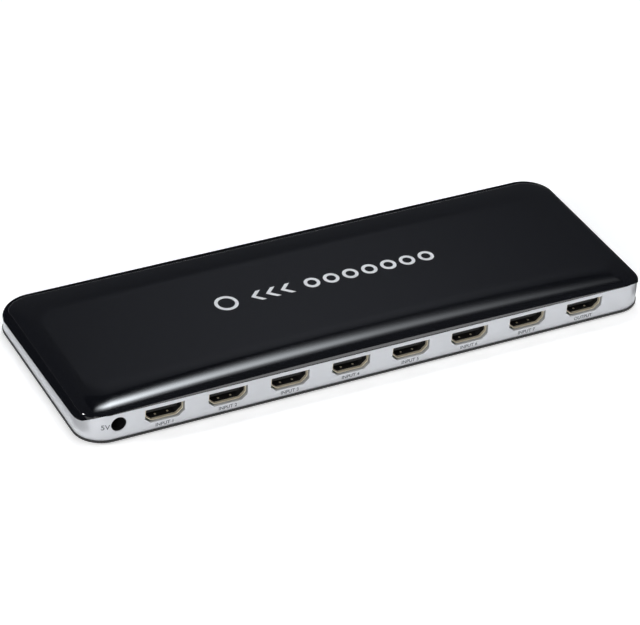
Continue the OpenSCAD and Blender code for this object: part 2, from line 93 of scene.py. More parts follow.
def linear(colour):
    """An sRGB hex value as linear red, green, blue."""
    parts = [int(colour[i:i + 2], 16) / 255 for i in (1, 3, 5)]
    return tuple(c / 12.92 if c <= 0.04045 else ((c + 0.055) / 1.055) ** 2.4 for c in parts)


def length(name, description, size):
    """A size that a user may change, given in millimetres."""
    return bpy.props.FloatProperty(
        name=name, description=description, default=size * MM, unit="LENGTH", precision=5)


def turn(name, description, degrees):
    """An angle that a user may change, given in degrees."""
    return bpy.props.FloatProperty(
        name=name, description=description, default=math.radians(degrees), subtype="ANGLE")


def tint(name, description, colour):
    """A colour that a user may change, given as sRGB hex."""
    return bpy.props.FloatVectorProperty(
        name=name, description=description, default=linear(colour), subtype="COLOR", min=0, max=1)


class CaseSizes(bpy.types.PropertyGroup):
    """Sizes of the case's shells."""
    corner_r: length("Corner radius", "Plan radius of the case corners", 11)
    wall: length("Wall", "Thickness of the shells", 2)
    rear_band: length("Rear band", "Height of the frame on the socket face", 10.7)
    knee_band: length("Knee band", "Height of the frame where its fall eases in the rear corners", 7.25)
    end_band: length("End band", "Height of the frame where its ends begin", 6.1)
    front_band: length("Front band", "Height of the frame on the front", 4.4)
    band_flat: length("Band flat", "Depth over which the frame's top edge stays level", 0.4)
    knee_depth: length("Knee depth", "Depth at which the fall of the frame's top edge eases", 5.5)
    shoulder_h: length("Shoulder height", "Height of the cover's rounded shoulder", 10.5)
    end_shoulder: length("End shoulder", "Width of the shoulder at the ends", 8)
    long_shoulder: length("Long shoulder", "Width of the shoulder along the length", 22)
    rear_overrun: length("Rear overrun", "How far the shoulder would reach past the socket face", 6.2)
    corner_step: length("Corner", "How much smaller the shoulder's rear corners are than the case's", 1.5)
    corner_loss: length("Corner loss", "Loss of the shoulder's corner radius at the roof", 2)
    crown: length("Crown", "Fall of the roof from the middle to the ends", 1.2)
    lip_round: length("Lip rounding", "Widest rounding of the cover's lower edge, up the shoulder", 1.3)
    boss_d: length("Boss", "Diameter of the screw bosses under the cover", 5.5)
    boss_bore: length("Boss bore", "Diameter of the bores in the bosses", 2.6)
    button_gap: length("Button gap", "Gap round the button in the cover", 0.2)
    window_gap: length("Window gap", "Gap round the window and the lights in the cover", 0.1)
    flange_rim: length("Flange rim", "How far the flange of a control reaches past its face", 0.7)
    light_d: length("Light", "Diameter of a light in the front", 1.8)
    port_gap: length("Socket gap", "Gap round a socket in the frame", 0.3)
    inlet_hole: length("Inlet hole", "Diameter of the power hole in the frame", 5.8)


class EdgeSizes(bpy.types.PropertyGroup):
    """Roundings of the pieces' edges."""
    frame: length("Frame", "Rounding of the frame's edges", 0.14)
    base: length("Base", "Rounding of the bottom cover's edges", 0.2)
    foot: length("Foot", "Rounding of the feet", 0.35)
    screw: length("Screw", "Rounding of the case screws", 0.12)
    housing: length("Housing", "Rounding of the inlet's housing", 0.1)
    pin: length("Pin", "Rounding of the inlet's pin", 0.3)
    control: length("Control", "Rounding of the button, the lights and the window", 0.2)
    sheet_share: bpy.props.FloatProperty(
        name="Sheet share", description="Rounding of a sheet's rim as a share of its thickness", default=0.3,
        subtype="FACTOR", min=0, max=0.5)


class SocketSizes(bpy.types.PropertyGroup):
    """Sizes of the sockets' metal shells, of the dark linings that paint the shade inside them, and of the
    dark tube that paints the shade in the power hole's wall.
    """
    sheet: length("Sheet", "Sheet thickness of a shell", 0.35)
    slant_w: length("Slant width", "Width of the slanted lower corners", 2.2)
    slant_h: length("Slant height", "Height of the slanted lower corners", 2)
    bend_r: length("Bend radius", "Radius of the sheet's bends", 0.45)
    dot_x: length("Spring dot place", "Distance of the spring dots from the middle", 2.4)
    dot_depth: length("Spring dot depth", "Depth of the spring dots behind the mouth", 2.6)
    dot_d: length("Spring dot", "Diameter of a spring dot", 1)
    dot_h: length("Spring dot height", "Height of the ball that a spring dot is part of", 0.6)
    # Painted shade: dark linings inside the shells paint the shade deep in the sockets
    lining: length("Lining", "Thickness of the dark lining in a shell", 0.12)
    lining_gap: length("Lining gap", "Gap between a lining and its shell", 0.02)
    lining_depth: length("Lining depth", "Depth behind the mouth where a lining begins", 1.0)
    base_len: length("Base length", "Length of the socket's base behind the lining", 1.9)
    # Painted shade: a thin dark tube in the wall of the power hole paints the shade round its edge
    sleeve: length("Sleeve", "Thickness of the dark sleeve in the power hole", 0.12)
    shade_sleeve_depth: length("Sleeve depth", "Depth behind the face where the sleeve begins", 0.2)


class PrintSizes(bpy.types.PropertyGroup):
    """Sizes of the printed marks."""
    port_text: length("Socket text", "Letter size of the socket labels", 2)
    port_text_z: length("Socket text height", "Height of the labels' middle above the ground", 3.2)
    inlet_text: length("Inlet text", "Letter size of the power label", 2.9)
    inlet_text_x: length("Inlet text place", "Distance of the power label from the inlet", 4.9)
    inlet_text_drop: length("Inlet text drop", "Drop of the power label below the inlet", 0.5)
    weight: length("Weight", "How much the strokes of the labels are thickened", 0.03)
    ink: length("Ink", "Thickness of the print", 0.02)
    mark_x: length("Mark place", "Distance of the top mark from the middle", -0.4)
    mark_ring: length("Mark ring", "Diameter of the small rings of the mark", 6.2)
    mark_end: length("Mark end", "Diameter of the ring at the end of the mark", 9)
    mark_pitch: length("Mark pitch", "Distance from ring to ring", 8)
    mark_arrow: length("Mark arrow", "Length of a chevron of the mark", 4)
    mark_line: length("Mark line", "Width of the mark's lines", 1.3)


class Finishes(bpy.types.PropertyGroup):
    """Colours of the visible finishes."""
    cover: tint("Cover", "Gloss black of the cover", "#0f1014")
    band: tint("Band", "Satin silver of the frame", "#d3d5d9")
    base: tint("Base", "Black of the bottom cover", "#0a0a0b")
    plating: tint("Plating", "Plating of the socket shells", "#d6ccb6")
    label: tint("Label", "Grey of the socket labels", "#5f6268")
    mark: tint("Mark", "White of the top mark", "#e9eaec")
    floor: tint("Floor", "Pale studio floor", "#f4f4f4")


class StageSizes(bpy.types.PropertyGroup):
    """Place and lens of the camera."""
    azimuth: turn("Azimuth", "Turn of the camera round the case", -28.5)
    elevation: turn("Elevation", "Angle of the camera above the ground", 34.39)
    roll: turn("Roll", "Tilt of the camera about its axis", 3.4)
    distance: length("Distance", "Distance of the camera from its target", 1075.68)
    lens: bpy.props.FloatProperty(
        name="Lens", description="Focal length on a 36 mm wide sensor", default=163.38)
    target: bpy.props.FloatVectorProperty(
        name="Target", description="Point that the camera looks at",
        default=(-6.17 * MM, -8.13 * MM, 7.6 * MM), subtype="TRANSLATION", unit="LENGTH")


GROUPS = {
    "switch_case": CaseSizes, "switch_edge": EdgeSizes, "switch_socket": SocketSizes,
    "switch_print": PrintSizes, "switch_finish": Finishes, "switch_stage": StageSizes,
}


def setting(group):
    """The scene's own values of one property group."""
    return getattr(bpy.context.scene, group)


# Working with one object at a time

def clear():
    """Deselects everything, because an operator acts on all that is selected."""
    bpy.ops.object.select_all(action="DESELECT")


def focus(piece):
    """Makes one object the only selected and the active one."""
    clear()
    piece.select_set(True)
    bpy.context.view_layer.objects.active = piece


def named(name):
    """Names the object that an operator has just made, with its place put into its mesh."""
    piece = bpy.context.object
    piece.name = name
    piece.data.name = name
    bpy.ops.object.transform_apply(location=True, rotation=True, scale=True)
    return piece


def block(name, low, high):
    """A box between two corners, as a start for shaping."""
    low, high = Vector(low), Vector(high)
    clear()
    bpy.ops.mesh.primitive_cube_add(size=1, location=(low + high) / 2)
    bpy.context.object.scale = high - low
    return named(name)


def rod(name, start, end, diameter, sides=ROUND_SIDES):
    """A round bar between two points, as a start for shaping."""
    start, end = Vector(start), Vector(end)
    clear()
    bpy.ops.mesh.primitive_cylinder_add(
        vertices=sides, radius=diameter / 2, depth=(end - start).length, location=(start + end) / 2,
        rotation=(end - start).to_track_quat("Z", "Y").to_euler())
    return named(name)


def edit(piece, kind, test):
    """Opens a piece for editing with the elements selected that pass a test of their place."""
    focus(piece)
    bpy.ops.object.mode_set(mode="EDIT")
    bpy.ops.mesh.select_mode(type=kind)
    bpy.ops.mesh.select_all(action="DESELECT")
    shape = bmesh.from_edit_mesh(piece.data)
    for part in {"VERT": shape.verts, "EDGE": shape.edges, "FACE": shape.faces}[kind]:
        if test(part):
            part.select_set(True)
    shape.select_flush_mode()
    bmesh.update_edit_mesh(piece.data)


def edit_all(piece):
    """Opens a piece for editing with all of it selected."""
    edit(piece, "FACE", lambda face: True)


def close_edit():
    """Goes back from editing a mesh to its object."""
    bpy.ops.object.mode_set(mode="OBJECT")


def close_outwards():
    """Turns every face outwards and ends the editing."""
    bpy.ops.mesh.select_all(action="SELECT")
    bpy.ops.mesh.normals_make_consistent(inside=False)
    close_edit()


def extrude(*way):
    """Extrudes what is selected by a way along X, Y and Z."""
    bpy.ops.mesh.extrude_region_move(TRANSFORM_OT_translate={"value": way})


def middle_of(node):
    """Middle of a solid's box."""
    low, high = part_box(node)
    return (low + high) / 2


def along(axis):
    """A test for edges that run along one axis."""
    def test(edge):
        run = edge.verts[1].co - edge.verts[0].co
        return abs(run[axis]) > ALIGNED * run.length
    return test


def rounded_block(name, low, high, radius, axis=2, segments=14):
    """A box whose edges along one axis are rounded."""
    piece = block(name, low, high)
    edit(piece, "EDGE", along(axis))
    bpy.ops.mesh.bevel(offset=radius, segments=segments, affect="EDGES")
    close_edit()
    return piece


def apply_modifier(piece, kind, **values):
    """Adds a modifier with its settings and applies it."""
    focus(piece)
    step = piece.modifiers.new(kind.lower(), kind)
    for key, value in values.items():
        setattr(step, key, value)
    bpy.ops.object.modifier_apply(modifier=step.name)


def combine(piece, tool, operation):
    """Cuts, joins or trims a piece by a tool, which is then removed."""
    apply_modifier(piece, "BOOLEAN", object=tool, operation=operation, solver="EXACT")
    bpy.data.objects.remove(tool)


def joined(pieces):
    """One object from several."""
    focus(pieces[0])
    for piece in pieces:
        piece.select_set(True)
    bpy.ops.object.join()
    return bpy.context.object


def round_edges(piece, width, segments=2, angle=SHARP_ANGLE):
    """Rounds every edge sharper than an angle and shades the rest smooth."""
    apply_modifier(
        piece, "BEVEL", width=width, segments=segments, limit_method="ANGLE",
        angle_limit=math.radians(angle))
    shade(piece, angle)


def shade(piece, angle=SHARP_ANGLE):
    """Shades a piece smooth but for the edges sharper than an angle."""
    focus(piece)
    bpy.ops.object.shade_smooth_by_angle(angle=math.radians(angle))


def soften(node, name, look, width, segments=2, body="case"):
    """Replaces a solid by a copy with its triangles merged into faces and its edges rounded."""
    piece = NODES[node].copy()
    piece.data = NODES[node].data.copy()
    piece.name = name
    piece.data.name = name
    piece.parent = None
    for key in [key for key in piece.keys() if key.startswith("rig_")]:
        del piece[key]
    piece.matrix_world = Matrix.Identity(4)
    bpy.context.scene.collection.objects.link(piece)
    edit(piece, "VERT", lambda vert: True)
    bpy.ops.mesh.remove_doubles(threshold=MERGE)
    bpy.ops.mesh.dissolve_limited(angle_limit=math.radians(FLAT_ANGLE))
    close_edit()
    carried = piece.data.attributes.get("custom_normal")
    if carried:
        piece.data.attributes.remove(carried)
    round_edges(piece, width, segments)
    place(piece, look, node, body=body)


def place(piece, name, *nodes, body="case", slot=True):
    """Gives a piece one of the finishes and its body, and hides the nodes that it stands for."""
    piece.data.materials.clear()
    piece.data.materials.append(finish(name))
    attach(piece, body)
    if nodes:
        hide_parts(*nodes)


def paint(node, name):
    """Gives a solid that stays one of the finishes."""
    solid = NODES[node]
    if not solid.material_slots:
        solid.data.materials.append(finish(name))
    for holder in solid.material_slots:
        holder.link = "OBJECT"
        holder.material = finish(name)


# Materials

def add(tree, kind, links=None, **settings):
    """Adds a shader node with its settings, and sets or links its inputs."""
    item = tree.nodes.new(kind)
    for key, value in settings.items():
        setattr(item, key, value)
    for socket, value in (links or {}).items():
        if isinstance(value, bpy.types.NodeSocket):
            tree.links.new(value, item.inputs[socket])
        else:
            item.inputs[socket].default_value = value
    return item


def per(size):
    """Pattern scale for features of a size in millimetres."""
    return 1 / (size * MM)


# Each finish: its colour, or the setting that holds it; how far its shades spread; the size of its blotches;
# its least and most roughness; the size and depth of its grain; its shader's constants. Sizes in millimetres.
RECIPES = {
    # Polished black ABS: a deep black under a mirror skin with a trace of orange peel and handling haze
    "gloss_black_abs": ("cover", 0.12, 45, (0.05, 0.1), 2.5, 0.0006, {"IOR": 1.5}),
    # Bead-blasted, anodised aluminium: a soft silver with a fine grain; the grit is drawn coarser to show
    "satin_aluminium": ("band", 0.03, 14, (0.36, 0.42), 0.35, 0.002, {"Metallic": 0.5}),
    # Moulded black ABS with a spark-eroded skin: dull, with a fine pebble that breaks up the light
    "black_abs": ("base", 0.15, 8, (0.42, 0.55), 0.45, 0.012, {"IOR": 1.53}),
    # Die-cut rubber: charcoal and chalky, with no sheen
    "foot_rubber": ("#232324", 0.2, 2, (0.75, 0.9), 0.3, 0.02, {"IOR": 1.45}),
    # Zinc-plated steel: a cool bright grey with slight cloudiness
    "screw_steel": ("#b9bdc2", 0.08, 1.2, (0.25, 0.38), 0.2, 0.003, {"Metallic": 1.0}),
    # Epoxy-glass board under green solder resist: the weave shows faintly through a glossy lacquer
    "board_laminate": ("#1d5a34", 0.25, 1.1, (0.22, 0.34), 0.6, 0.006, {"IOR": 1.55}),
    # Nickel-flashed, gold-tinted stainless sheet: warm beige metal with drawing marks from the press
    "socket_plating": ("plating", 0.1, 1.5, (0.38, 0.5), 0.25, 0.002, {"Metallic": 0.5}),
    # Glass-filled black resin inside the sockets: matt, almost without reflection
    # It also colours the socket linings and the dark tube in the power hole, which paint the shade inside
    # them
    "socket_resin": ("#0d0d0e", 0.2, 2, (0.5, 0.62), 0.3, 0.006, {"IOR": 1.5}),
    # Flash gold on bronze contacts: warm, bright and slightly uneven
    "contact_gold": ("#d9b45c", 0.08, 0.8, (0.2, 0.3), 0.15, 0.001, {"Metallic": 1.0}),
    # Transfer-moulded epoxy of chips: charcoal with a dull, sandy skin
    "chip_epoxy": ("#242526", 0.15, 3, (0.55, 0.7), 0.25, 0.006, {"IOR": 1.5}),
    # Tin-plated steel of pins and cans: bright and smooth
    "plated_steel": ("#c2c4c6", 0.06, 1.4, (0.2, 0.3), 0.2, 0.001, {"Metallic": 1.0}),
    # Pressed ferrite: dark grey, dry and slightly gritty
    "ferrite": ("#3a3b3d", 0.18, 1.2, (0.6, 0.75), 0.25, 0.01, {"IOR": 1.7}),
    # Drawn aluminium of capacitor cans: bright with faint drawing bands
    "can_aluminium": ("#c9cccf", 0.06, 1.6, (0.22, 0.34), 0.3, 0.002, {"Metallic": 1.0}),
    # Fired ceramic of small capacitors: tan with a waxy skin
    "chip_ceramic": ("#a88a5e", 0.15, 0.8, (0.4, 0.55), 0.2, 0.003, {"IOR": 1.6}),
    # Cast clear acrylic of the light pipes: milky from the front, with a polished tip
    "clear_resin": (
        "#c8d4da", 0.06, 1.5, (0.12, 0.22), 0.5, 0.002, {"IOR": 1.49, "Transmission Weight": 0.6}),
    # Dyed acrylic that lets infra-red pass: a very dark red that looks black until lit
    "filter_resin": ("#2a0a10", 0.2, 2, (0.06, 0.12), 1, 0.001, {"IOR": 1.49}),
    # Natural acetal of the switch plunger: off-white and waxy
    "plunger_resin": ("#c9c7c0", 0.06, 1.2, (0.35, 0.5), 0.3, 0.003, {"IOR": 1.48}),
    # Screen-printed grey ink: thin, matt and slightly broken at the grain of the metal
    "label_ink": ("label", 0.12, 0.5, (0.55, 0.7), 0.2, 0.002, {"IOR": 1.48}),
    # Screen-printed white ink: opaque and satin, with small changes of density
    "mark_ink": ("mark", 0.05, 1.5, (0.45, 0.6), 0.3, 0.002, {"IOR": 1.48}),
}
# Finishes made so far; the frame brings plain materials of the same names
FINISHED = {}


def blank(name):
    """A new material whose shader is still to be built, and its node tree."""
    material = bpy.data.materials.new(name)
    material.use_nodes = True
    material.node_tree.nodes.clear()
    return material, material.node_tree


def finish(name):
    """One of the finishes: slow blotches of colour, roughness that follows them, and a fine surface grain."""
    if name in FINISHED:
        return FINISHED[name]
    colour, spread, blotch, rough, grain, relief, shader = RECIPES[name]
    middle = linear(colour) if colour.startswith("#") else getattr(setting("switch_finish"), colour)
    dark = (*(c * (1 - spread) for c in middle), 1)
    light = (*(min(1, c * (1 + spread)) for c in middle), 1)
    material, tree = blank(name)
    where = add(tree, "ShaderNodeTexCoord").outputs["Object"]
    cloud = add(tree, "ShaderNodeTexNoise", {"Vector": where, "Scale": per(blotch), "Detail": 3.0})
    shades = add(tree, "ShaderNodeMix", {0: cloud.outputs[0], 6: dark, 7: light}, data_type="RGBA")
    haze = add(tree, "ShaderNodeMapRange", {
        "Value": cloud.outputs[0], "To Min": rough[0], "To Max": rough[1]})
    fine = add(tree, "ShaderNodeTexNoise", {"Vector": where, "Scale": per(grain), "Detail": 2.0})
    bump = add(tree, "ShaderNodeBump", {
        "Height": fine.outputs[0], "Strength": 1.0, "Distance": relief * MM})
    surface = add(tree, "ShaderNodeBsdfPrincipled", {
        "Base Color": shades.outputs[2], "Roughness": haze.outputs[0], "Normal": bump.outputs[0], **shader})
    add(tree, "ShaderNodeOutputMaterial", {"Surface": surface.outputs[0]})
    FINISHED[name] = material
    return material


# Shape of the case

def seam_stops():
    """Depths and heights between which the line where the frame meets the cover runs straight."""
    case = setting("switch_case")
    rear, ground = CASE_LOW.y, FRAME_LOW.z
    return (
        (rear + case.band_flat, ground + case.rear_band), (rear + case.knee_depth, ground + case.knee_band),
        (rear + case.corner_r, ground + case.end_band), (CASE_HIGH.y, ground + case.front_band))


def seam_height(y):
    """Height of the line where the frame meets the cover, at one depth."""
    stops = seam_stops()
    if y <= stops[0][0]:
        return stops[0][1]
    for (y0, z0), (y1, z1) in zip(stops, stops[1:]):
        if y <= y1:
            return z0 + (z1 - z0) * (y - y0) / (y1 - y0)
    return stops[-1][1]


def above_seam():
    """Everything above the line where the frame meets the cover."""
    margin = setting("switch_case").corner_r
    top = COVER_HIGH.z + margin
    piece = block(
        "above_seam", (COVER_LOW.x - margin, COVER_LOW.y - margin, 0),
        (COVER_HIGH.x + margin, COVER_HIGH.y + margin, top))
    for y, _ in seam_stops():
        edit_all(piece)
        bpy.ops.mesh.bisect(plane_co=(0, y, 0), plane_no=(0, 1, 0), threshold=MERGE)
        close_edit()
    edit(piece, "VERT", lambda vert: False)
    for vert in bmesh.from_edit_mesh(piece.data).verts:
        if vert.co.z < top - margin:
            vert.co.z = seam_height(vert.co.y)
    close_edit()
    return piece


# Faces along a long side, an end and a corner of the cover, and from its lip up to its roof
LONG_STEPS = 56
END_STEPS = 26
CORNER_STEPS = 28
RINGS = 34
# Power by which the rings crowd towards the lip, and by which the crown grows up the shoulder
RING_EASE = 1.15
CROWN_EASE = 4
# Outlines worked out up the shoulder, and halvings that find where it is trimmed
TABLE_STEPS = 240
HALVINGS = 50
# Faces round the lip, its reach and its foot as shares of the upright strip below it, and the step in radians
# over which the shoulder's pace is taken
LIP_STEPS = 5
LIP_SHARE = 4
LIP_FOOT = 0.125
PACE_STEP = 0.01
# Walls through which the opening of a control and that of a socket are cut
CONTROL_WALLS = 2.5
SOCKET_WALLS = 3


def shoulder_outline(angle, skin):
    """Level outline of the pillow, moved in by a skin, at one angle of its quarter ellipse.

    Its points run from the front right corner round to the left."""
    case = setting("switch_case")
    t = 1 - math.cos(angle)
    half = CASE_HIGH.x - skin - case.end_shoulder * t
    front = CASE_HIGH.y - skin - case.long_shoulder * t
    rear = CASE_LOW.y - case.rear_overrun + skin + case.long_shoulder * t
    f = case.corner_r - case.corner_loss * t
    r = f - case.corner_step
    corners = (
        (half - f, front - f, f, 0), (f - half, front - f, f, 90),
        (r - half, rear + r, r, 180), (half - r, rear + r, r, 270))
    arcs = []
    for x, y, radius, turn in corners:
        turns = [math.radians(turn + 90 * k / CORNER_STEPS) for k in range(CORNER_STEPS + 1)]
        arcs.append([Vector((x + radius * math.cos(a), y + radius * math.sin(a))) for a in turns])
    outline = []
    for arc, after, steps in zip(arcs, arcs[1:] + arcs[:1], (LONG_STEPS, END_STEPS) * 2):
        outline += arc
        outline += [arc[-1].lerp(after[0], k / steps) for k in range(1, steps)]
    return outline


def outside(point, skin):
    """How far a plan point lies outside the case's rounded outline, moved in by a skin."""
    r = setting("switch_case").corner_r - skin
    dx = abs(point.x) - CASE_HIGH.x + skin + r
    dy = abs(point.y) - CASE_HIGH.y + skin + r
    return math.hypot(max(dx, 0), max(dy, 0)) + min(max(dx, dy), 0) - r


def crown_fall(x):
    """How far the roof has fallen from its middle at one place along the case."""
    return setting("switch_case").crown * (x / CASE_HIGH.x) ** 2


def shoulder_columns(skin):
    """Lines of points up the shoulder from the seam, trimmed to the case's plan and with a rounded lip."""
    case = setting("switch_case")
    quarter = math.pi / 2
    table = [shoulder_outline(quarter * k / TABLE_STEPS, skin) for k in range(TABLE_STEPS + 1)]
    foot = COVER_HIGH.z - case.shoulder_h
    height = case.shoulder_h - setting("switch_print").ink - skin

    def at(column, angle):
        spot = min(angle / quarter * TABLE_STEPS, TABLE_STEPS - MERGE)
        low = int(spot)
        plan = table[low][column].lerp(table[low + 1][column], spot - low)
        rise = math.sin(angle)
        fall = crown_fall(plan.x) * rise ** CROWN_EASE
        return Vector((plan.x, plan.y, foot + height * rise - fall))

    def first_clear(column, test):
        """Lowest angle at which a point no longer fails a test."""
        low, high = 0.0, quarter
        if not test(at(column, low)):
            return low
        for _ in range(HALVINGS):
            middle = (low + high) / 2
            if test(at(column, middle)):
                low = middle
            else:
                high = middle
        return high

    columns = []
    for column in range(len(table[0])):
        start = max(
            first_clear(column, lambda p: outside(p, skin) > -MERGE),
            first_clear(column, lambda p: p.z < seam_height(p.y)))
        corner = at(column, start)
        seam = min(corner.z, seam_height(corner.y))
        strip = corner.z - seam
        pace = (at(column, start + PACE_STEP) - corner).length / PACE_STEP
        start += min(LIP_SHARE * strip, case.lip_round) / pace
        upper = at(column, start)
        lower = Vector((corner.x, corner.y, seam + LIP_FOOT * strip))
        line = [Vector((corner.x, corner.y, seam))]
        for k in range(LIP_STEPS):
            share = k / LIP_STEPS
            line.append(lower.lerp(corner, share).lerp(corner.lerp(upper, share), share))
        line += [at(column, start + (quarter - start) * (k / RINGS) ** RING_EASE) for k in range(RINGS + 1)]
        columns.append(line)
    return columns


def cover_shell():
    """Outer and inner face of the cover, joined at the seam.

    No operator trims a pillow along a falling seam with even rings, so its points are worked out singly."""
    case = setting("switch_case")
    verts, faces = [], []
    for skin in (0, case.wall):
        columns = shoulder_columns(skin)
        base, count = len(verts), len(columns)
        verts += [point for level in zip(*columns) for point in level]
        for ring_at in range(base, len(verts) - count, count):
            above = ring_at + count
            for column in range(count):
                after = (column + 1) % count
                faces.append((ring_at + column, ring_at + after, above + after, above + column))
    for column in range(count):
        after = (column + 1) % count
        faces.append((column, after, base + after, base + column))
    skin = bpy.data.meshes.new("cover_shell")
    skin.from_pydata(verts, [], faces)
    piece = bpy.data.objects.new("cover_shell", skin)
    bpy.context.scene.collection.objects.link(piece)

    def open_above(edge, level):
        spot = edge.verts[0].co
        return edge.is_boundary and spot.z + crown_fall(spot.x) > level

    for level in (COVER_HIGH.z - case.wall / 2, COVER_HIGH.z - 2 * case.wall):
        edit(piece, "EDGE", lambda edge: open_above(edge, level))
        bpy.ops.mesh.fill_grid(span=LONG_STEPS + CORNER_STEPS, offset=CORNER_STEPS // 2)
        close_edit()
    edit(piece, "VERT", lambda vert: True)
    bpy.ops.mesh.remove_doubles(threshold=MERGE)
    close_outwards()
    return piece


def pill(name, low, high):
    """A flat bar with round ends that runs along Y."""
    return rounded_block(name, low, high, (high[2] - low[2]) / 2 - MERGE, axis=1, segments=10)


def control_cuts():
    """Cutters for the openings of the button, the receiver window and the lights in the cover's front."""
    case = setting("switch_case")
    near, far = COVER_HIGH.y - CONTROL_WALLS * case.wall, COVER_HIGH.y + case.wall
    tools = []
    for node, gap in (("select_button", case.button_gap), ("receiver_window", case.window_gap)):
        low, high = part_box(node)
        tools.append(pill(
            "control_cut", (low.x + case.flange_rim - gap, near, low.z - gap),
            (high.x - case.flange_rim + gap, far, high.z + gap)))
    low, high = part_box("light_pipes")
    first, last = low.x + case.light_d / 2, high.x - case.light_d / 2
    z = high.z - case.light_d / 2
    hole = case.light_d + 2 * case.window_gap
    for k in range(len(PORTS)):
        x = first + (last - first) * k / (len(PORTS) - 1)
        tools.append(rod("light_cut", (x, near, z), (x, far, z), hole, BORE_SIDES))
    return joined(tools)


def screw_bosses(diameter, low_z, high_z):
    """Upright rods at the four case screws."""
    low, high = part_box("case_screws")
    head = (high.y - low.y - SCREW_SPAN) / 2
    spots = [(x, y) for x in (low.x + head, high.x - head) for y in (low.y + head, high.y - head)]
    return joined([rod("boss", (x, y, low_z), (x, y, high_z), diameter, BORE_SIDES) for x, y in spots])


class SWITCH_OT_cover(bpy.types.Operator):
    """Model the gloss cover with its lip, screw bosses and openings for the controls"""
    bl_idname = "switchbox.cover"
    bl_label = "Top cover"

    def execute(self, context):
        case = setting("switch_case")
        piece = cover_shell()
        boss_foot = COVER_LOW.z
        boss_top = COVER_HIGH.z - case.crown - case.wall / 2
        combine(piece, screw_bosses(case.boss_d, boss_foot, boss_top), "UNION")
        bores = screw_bosses(case.boss_bore, boss_foot - case.wall, boss_top - case.wall)
        combine(piece, bores, "DIFFERENCE")
        combine(piece, control_cuts(), "DIFFERENCE")
        shade(piece, COVER_ANGLE)
        place(piece, "gloss_black_abs", "top_cover")
        return {"FINISHED"}


class SWITCH_OT_frame(bpy.types.Operator):
    """Model the satin frame with its socket cut-outs, power hole and rounded edges"""
    bl_idname = "switchbox.frame"
    bl_label = "Side frame"

    def execute(self, context):
        case = setting("switch_case")
        reveal = FRAME_LOW.x - CASE_LOW.x
        r = case.corner_r - reveal
        piece = rounded_block("frame_band", FRAME_LOW, FRAME_HIGH, r)
        inset = Vector((case.wall, case.wall, -case.wall))
        hollow = rounded_block("hollow", FRAME_LOW + inset, FRAME_HIGH - inset, r - case.wall)
        combine(piece, hollow, "DIFFERENCE")
        combine(piece, above_seam(), "DIFFERENCE")
        tools = [socket_tool(name, case.port_gap) for name in PORTS]
        middle = middle_of("inlet_housing")
        tools.append(rod(
            "inlet_cut", (middle.x, FRAME_LOW.y - case.wall, middle.z),
            (middle.x, FRAME_LOW.y + 2 * case.wall, middle.z), case.inlet_hole))
        combine(piece, joined(tools), "DIFFERENCE")
        round_edges(piece, setting("switch_edge").frame, angle=COVER_ANGLE)
        place(piece, "satin_aluminium", "side_frame")
        return {"FINISHED"}


def socket_face(name, node, gap, depth):
    """Flat outline of a socket at one depth: a rectangle whose lower corners are cut at a slant."""
    size = setting("switch_socket")
    low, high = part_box(node)
    middle = middle_of(node)
    clear()
    bpy.ops.mesh.primitive_plane_add(
        size=1, location=(middle.x, depth, middle.z), rotation=(math.pi / 2, 0, 0))
    bpy.context.object.scale = (high.x - low.x + 2 * gap, high.z - low.z + 2 * gap, 1)
    piece = named(name)
    for side in (-1, 1):
        corner = Vector((middle.x + side * ((high.x - low.x) / 2 + gap), depth, low.z - gap))
        normal = Vector((side * size.slant_h, 0, -size.slant_w)).normalized()
        edit_all(piece)
        bpy.ops.mesh.bisect(
            plane_co=corner + Vector((0, 0, size.slant_h)), plane_no=normal, clear_outer=True,
            threshold=MERGE)
        close_edit()
    return piece


def socket_tool(node, gap):
    """Cutter for a socket's opening in the frame."""
    wall = setting("switch_case").wall
    piece = socket_face("socket_cut", node, gap, FRAME_LOW.y - wall)
    edit_all(piece)
    extrude(0, SOCKET_WALLS * wall, 0)
    close_outwards()
    return piece


def folded_sheet(name, node, gap, bend, sheet, front, back):
    """A tube of sheet folded to a socket's outline, with its inner face at a gap from the node's box."""
    piece = socket_face(name, node, gap, front)
    edit(piece, "VERT", lambda vert: True)
    bpy.ops.mesh.bevel(offset=bend, segments=4, affect="VERTICES")
    bpy.ops.mesh.select_all(action="SELECT")
    extrude(0, back - front, 0)
    close_outwards()
    edit(piece, "FACE", lambda face: abs(face.normal.y) > ALIGNED)
    bpy.ops.mesh.delete(type="FACE")
    close_edit()
    apply_modifier(piece, "SOLIDIFY", thickness=sheet, offset=1, use_even_offset=True)
    round_edges(piece, setting("switch_edge").sheet_share * sheet, angle=SHEET_ANGLE)
    return piece


def spring_dots():
    """The pressed dots that show on the floor of the first socket."""
    size = setting("switch_socket")
    low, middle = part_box(PORTS[0])[0], middle_of(PORTS[0])
    dots = []
    for side in (-1, 1):
        clear()
        bpy.ops.mesh.primitive_uv_sphere_add(
            segments=24, ring_count=12, radius=size.dot_d / 2,
            location=(middle.x + side * size.dot_x, low.y + size.dot_depth, low.z + size.sheet))
        bpy.context.object.scale.z = size.dot_h / size.dot_d
        dot = named("spring_dot")
        shade(dot)
        dots.append(dot)
    return dots


